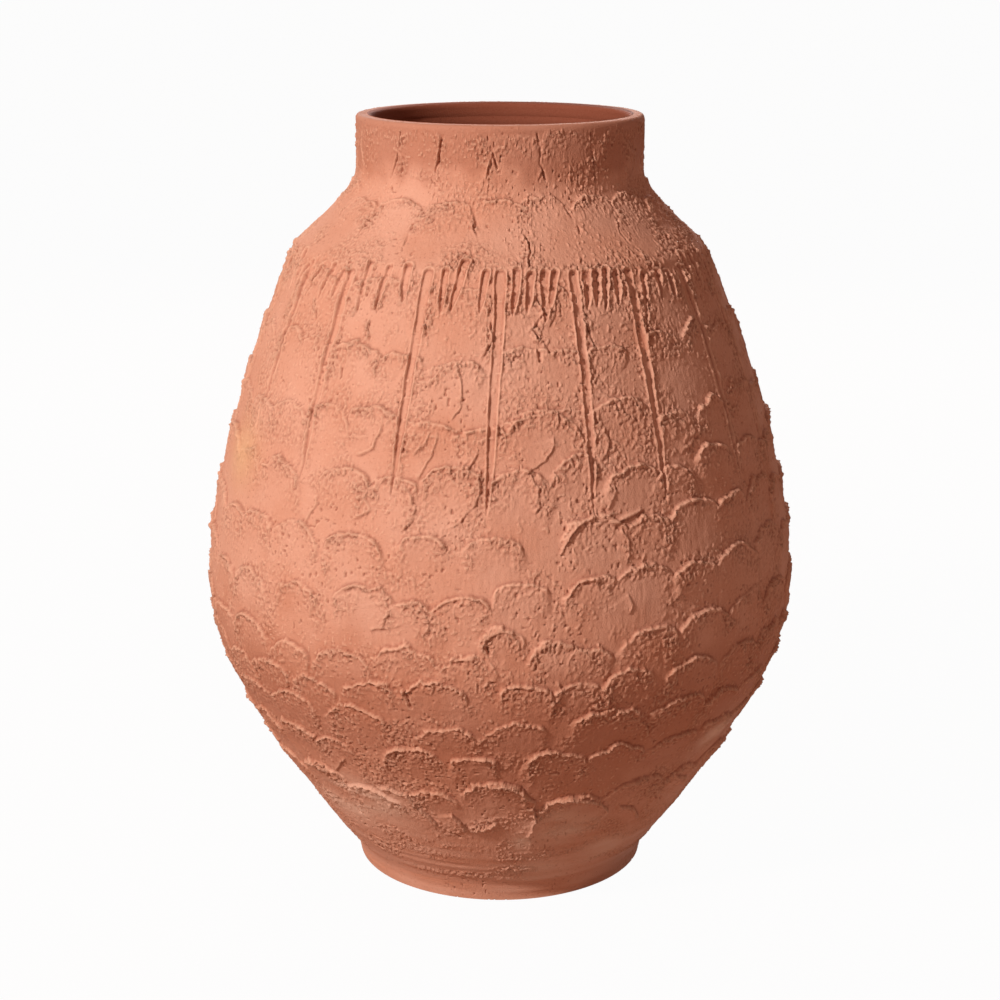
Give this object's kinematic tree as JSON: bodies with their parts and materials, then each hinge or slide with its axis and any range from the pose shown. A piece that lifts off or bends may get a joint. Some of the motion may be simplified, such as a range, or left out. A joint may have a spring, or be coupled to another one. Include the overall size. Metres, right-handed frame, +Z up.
{
  "type": "pithos storage jar",
  "caption": "Large hand-built terracotta storage jar with a wide belly, sloping shoulder, short neck and open mouth, coils joined by smeared bands.",
  "frame": {"origin": "centre of the standing face", "axes": "+Z up along the jar's axis; +Y away from the viewer of the picture"},
  "size_m": [0.6226, 0.6226, 0.8],
  "materials": {
    "terracotta": "matt unglazed fired clay",
    "smeared_terracotta": "matt unglazed fired clay, wiped with the fingers"
  },
  "bodies": {
    "root": {"base_slab": "terracotta", "wall_coil_01": "terracotta", "wall_coil_02": "terracotta", "wall_coil_03": "terracotta", "wall_coil_04": "terracotta", "wall_coil_05": "terracotta", "wall_coil_06": "terracotta", "wall_coil_07": "terracotta", "wall_coil_08": "terracotta", "wall_coil_09": "terracotta", "wall_coil_10": "terracotta", "wall_coil_11": "terracotta", "wall_coil_12": "terracotta", "wall_coil_13": "terracotta", "shoulder_coil_1": "terracotta", "shoulder_coil_2": "terracotta", "neck_coil": "terracotta", "rim_coil": "terracotta", "smear_band_01": "smeared_terracotta", "smear_band_02": "smeared_terracotta", "smear_band_03": "smeared_terracotta", "smear_band_04": "smeared_terracotta", "smear_band_05": "smeared_terracotta", "smear_band_06": "smeared_terracotta", "smear_band_07": "smeared_terracotta", "smear_band_08": "smeared_terracotta", "smear_band_09": "smeared_terracotta", "smear_band_10": "smeared_terracotta", "smear_band_11": "smeared_terracotta"}
  },
  "joints": []
}
